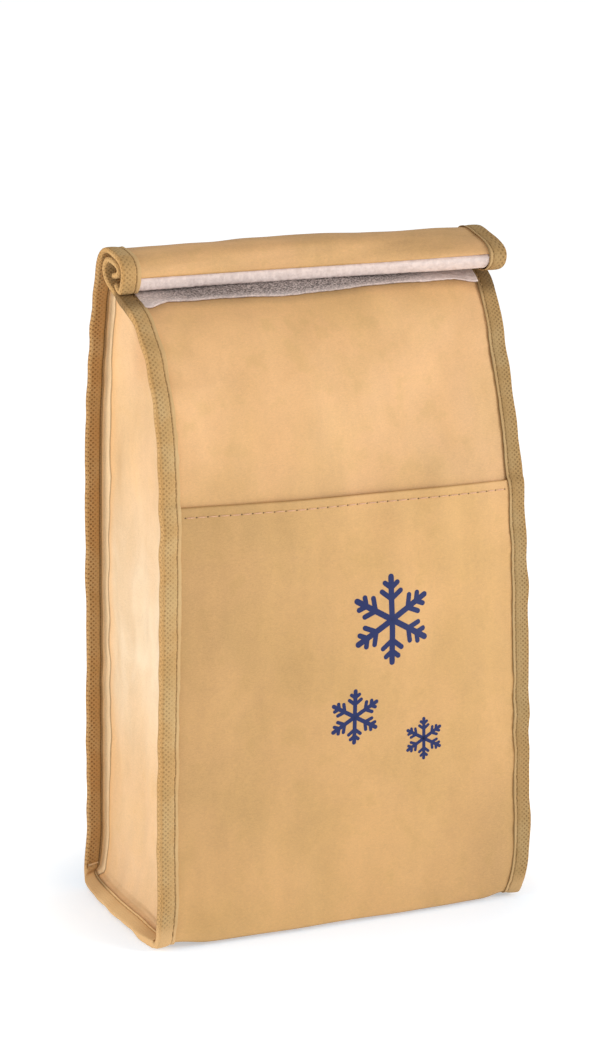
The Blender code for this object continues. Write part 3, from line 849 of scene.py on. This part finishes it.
TWIG_ANGLE, TWIG_WIDTH = math.radians(52), 0.85
# centre as (across, down from the pocket's edge), arm length and stroke width, in mm
CRYSTALS = (((20.0, 62.0), 21.0, 3.0), ((0.0, 108.0), 13.0, 2.1), ((38.0, 124.0), 10.0, 1.7))


def heading(angle):
    """The unit step at an angle from the across direction."""
    return np.array([math.cos(angle), math.sin(angle)])


def crystal(centre, size, width):
    """A six-armed snow crystal: straight arms, each with two pairs of side twigs."""
    out = []
    for arm in range(6):
        turn = math.radians(30 + 60 * arm)
        ray = heading(turn)
        out.append(stroke(centre, centre + ray * size, width))
        for at, twig in ((0.48, 0.30), (0.74, 0.20)):
            root = centre + ray * size * at
            for lean in (-1, 1):
                tip = root + size * twig * heading(turn + lean * TWIG_ANGLE)
                out.append(stroke(root, tip, width * TWIG_WIDTH))
    return out


def printed(ink):
    """Three snow crystals of different sizes, printed on the pocket; strokes that cross lie a hair
    apart."""
    strokes = []
    for centre, size, width in CRYSTALS:
        strokes += crystal(np.array(centre), size, width)
    points, faces, uv, count = [], [], [], 0
    for layer, outline in enumerate(strokes):
        s, down = outline[..., 0], outline[..., 1]
        t = place_at(run_at(POCKET_TOP) + down)
        off = pocket_height(t, s) + POCKET_PAPER / 2 + 0.05 + 0.004 * (layer % 5)
        points.append(lifted(t, s, off).reshape(-1, 3))
        uv.append(outline.reshape(-1, 2))
        faces.append(quads(np.arange(s.size).reshape(s.shape)) + count)
        count += s.size
    points, faces, uv = (np.concatenate(part) for part in (points, faces, uv))
    return make("printed_snow_crystals", points, faces, uv, ink)


# ---------------------------------------------------------------- camera, light, floor
def camera():
    """Looks from the front left and a little above, as a long lens does."""
    data = bpy.data.cameras.new("camera")
    data.sensor_width, data.lens = 36.0, 107.41
    obj = link("camera", data)
    yaw, pitch = math.radians(24.82), math.radians(12.23)
    level = math.cos(pitch)
    ahead = Vector((math.sin(yaw) * level, math.cos(yaw) * level, -math.sin(pitch)))
    obj.location = (-0.6265, -1.3467, 0.513)
    obj.rotation_mode = "QUATERNION"
    obj.rotation_quaternion = ahead.to_track_quat("-Z", "Y")
    bpy.context.scene.camera = obj


def lamp(name, location, size, power):
    """A square soft white light aimed at the middle of the bag."""
    data = bpy.data.lights.new(name, "AREA")
    data.shape, data.size, data.energy = "SQUARE", size, power
    obj = link(name, data)
    obj.location = location
    obj.rotation_mode = "QUATERNION"
    obj.rotation_quaternion = (Vector((0, 0, 0.16)) - obj.location).to_track_quat("-Z", "Y")


def studio():
    """Even white surroundings, soft lights on the left side and the front, and a white self-lit floor
    with a painted bluish shadow where the bag stands."""
    scene = bpy.context.scene
    scene.view_settings.view_transform = "Standard"
    world = bpy.data.worlds.new("studio")
    world.use_nodes = True
    background = world.node_tree.nodes["Background"]
    background.inputs["Color"].default_value = (1.0, 1.0, 1.0, 1.0)
    background.inputs["Strength"].default_value = 0.50
    scene.world = world
    lamp("side", (-1.9, 0.10, 0.55), 0.9, 17.0)
    lamp("front", (1.60, -1.25, 0.85), 0.9, 24.0)
    reach, level = 40.0, -0.0004
    floor = bpy.data.meshes.new("floor")
    floor.from_pydata([(-reach, -reach, level), (reach, -reach, level),
                       (reach, reach, level), (-reach, reach, level)], [], [(0, 1, 2, 3)])
    f = Finish("floor_white")
    away = f.add("ShaderNodeVectorMath", {"operation": "LENGTH"}, {0: f.place()}, "Value")
    # painted shadow: the floor's glow is dimmer and bluer near the bag
    glow_and_painted_shadow = f.mix(away.ease(0.095, 0.165), (0.46, 0.57, 0.68), (0.97, 0.99, 1.0))
    f.tree.links.new(glow_and_painted_shadow.socket, f.shader.inputs["Emission Color"])
    white = (0.86, 0.87, 0.88, 1.0)
    floor.materials.append(f.done(white, 0.9, Specular_IOR_Level=0.0, Emission_Strength=0.60))
    link("floor", floor)


def main():
    """The bag's sheets stand for the CAD's nodes; thread and print are extra pieces."""
    camera()
    studio()
    front = kraft("kraft_paper", linear(217, 171, 114), linear(220, 172, 118),
                  linear(203, 161, 105), dress_body)
    # the side panels' paper is paler and less saturated than the front's: painted highlight for the
    # brightly lit sides
    side = kraft("side_kraft_paper", linear(222, 181, 131), linear(224, 182, 134),
                 linear(214, 172, 120), dress_side)
    # the pocket's paper is darker than the front's: partly its own tone, partly painted shade for the
    # pocket's weaker light
    slip = kraft("pocket_kraft_paper", linear(207, 163, 104), linear(210, 164, 107),
                 linear(195, 154, 96), dress_pocket)
    tape = binding_finish("binding_tape")
    pile = pile_finish("fastener_pile")
    wall, base = run_at(FOOT_FRONT) - run_at(SHOULDER_FRONT), run_at(FOOT_BACK) - run_at(FOOT_FRONT)
    gusset_cut = (base + 2 * SEAM_ALLOWANCE, wall + SEAM_ALLOWANCE)
    body_cut = (2 * CUT_EDGE, run_at(BACK_RIM))
    pocket_cut = (2 * CUT_EDGE, run_at(FOOT_FRONT) - run_at(POCKET_TOP) + HEM_DEPTH)
    tape_cut = (2 * BINDING_WIDTH + 3.0, RUN[-1])
    flap_cut = (2 * HALF_SEAM, RUN[-1] - run_at(FLAP_STRIP_TOP))
    strip_cut = (2 * HALF_SEAM, run_at(8.5) - run_at(FRONT_STRIP_TOP))
    # piece, the node it stands for, slot, flat width and length in mm, how it is held
    sheets = [
        (body_panel(front), "body_panel", "kraft_paper", body_cut, "folded"),
        (gusset("gusset_left_paper", -1, side), "gusset_left", "side_kraft_paper", gusset_cut,
         "stretched"),
        (gusset("gusset_right_paper", 1, side), "gusset_right", "side_kraft_paper", gusset_cut,
         "stretched"),
        (pocket_panel(slip), "pocket_panel", "pocket_kraft_paper", pocket_cut, "laid"),
        (binding("binding_left_tape", -1, tape), "binding_left", "binding_tape", tape_cut, "folded"),
        (binding("binding_right_tape", 1, tape), "binding_right", "binding_tape", tape_cut, "folded"),
        (flap_strip(pile), "flap_strip", "fastener_strip", flap_cut, "laid"),
        (front_strip(pile), "front_strip", "fastener_strip", strip_cut, "laid"),
    ]
    hem_thread = thread_finish("hem_thread", linear(224, 178, 142))
    seam_thread = thread_finish("binding_thread", linear(176, 138, 88))
    trimmings = [
        (pocket_stitches(hem_thread), "pocket_kraft_paper"),
        (binding_stitches("binding_left_thread", -1, seam_thread), "binding_tape"),
        (binding_stitches("binding_right_thread", 1, seam_thread), "binding_tape"),
        (printed(ink_finish("print_ink")), "pocket_kraft_paper"),
    ]
    for piece, node, slot, (width, length), held in sheets:
        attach(piece, "root")
        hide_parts(node)
        under = () if node == "body_panel" else "body_panel"
        area = GUSSET_SHARE * width * length * MM**2 if held == "stretched" else None
        width * MM
        length * MM
    for piece, slot in trimmings:
        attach(piece, "root")


main()
